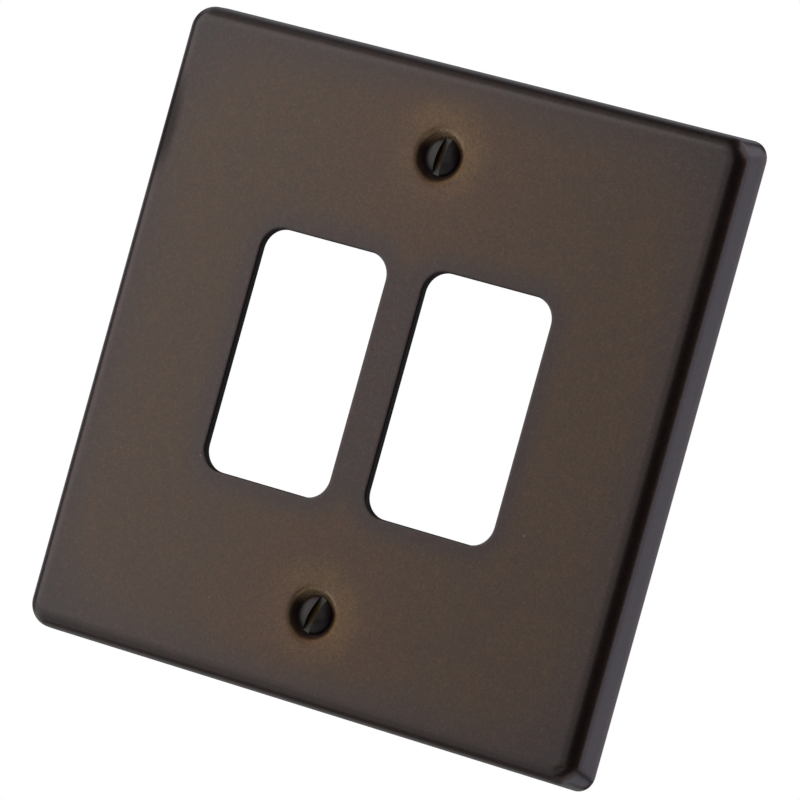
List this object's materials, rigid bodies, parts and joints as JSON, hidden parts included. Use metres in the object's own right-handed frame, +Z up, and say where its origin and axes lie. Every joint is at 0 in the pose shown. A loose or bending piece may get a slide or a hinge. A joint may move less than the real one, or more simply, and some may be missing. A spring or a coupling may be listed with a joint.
{
  "type": "grid switch cover plate",
  "caption": "Square pressed-metal wall cover plate with rounded windows for switch modules and captive slotted countersunk fixing screws, in a dark satin bronze finish.",
  "frame": {"origin": "on the wall plane, which the plate's back rim touches, midway between the two fixing screws", "axes": "+Z up the wall, +Y into the wall, +X to the right as seen from the room; the show face looks along -Y"},
  "size_m": [0.086, 0.0126, 0.086],
  "materials": {
    "bronzed_plate": "satin",
    "bronzed_screw": "satin",
    "natural_nylon": "satin"
  },
  "bodies": {
    "plate": {"face_plate": "bronzed_plate"},
    "upper_retainer": {"upper_screw_retainer": "natural_nylon"},
    "upper_screw": {"upper_screw": "bronzed_screw"},
    "lower_retainer": {"lower_screw_retainer": "natural_nylon"},
    "lower_screw": {"lower_screw": "bronzed_screw"}
  },
  "joints": [
    {"name": "upper_screw_slide", "type": "slide", "parent": "plate", "child": "upper_retainer", "axis": [0, -1, 0], "range_m": [0, 0.00266]},
    {"name": "upper_screw_turn", "type": "hinge", "parent": "upper_retainer", "child": "upper_screw", "pos_m": [0, -0.0008, 0.03085], "axis": [0, -1, 0], "continuous": true},
    {"name": "lower_screw_slide", "type": "slide", "parent": "plate", "child": "lower_retainer", "axis": [0, -1, 0], "range_m": [0, 0.00266]},
    {"name": "lower_screw_turn", "type": "hinge", "parent": "lower_retainer", "child": "lower_screw", "pos_m": [0, -0.0008, -0.03085], "axis": [0, -1, 0], "continuous": true}
  ]
}
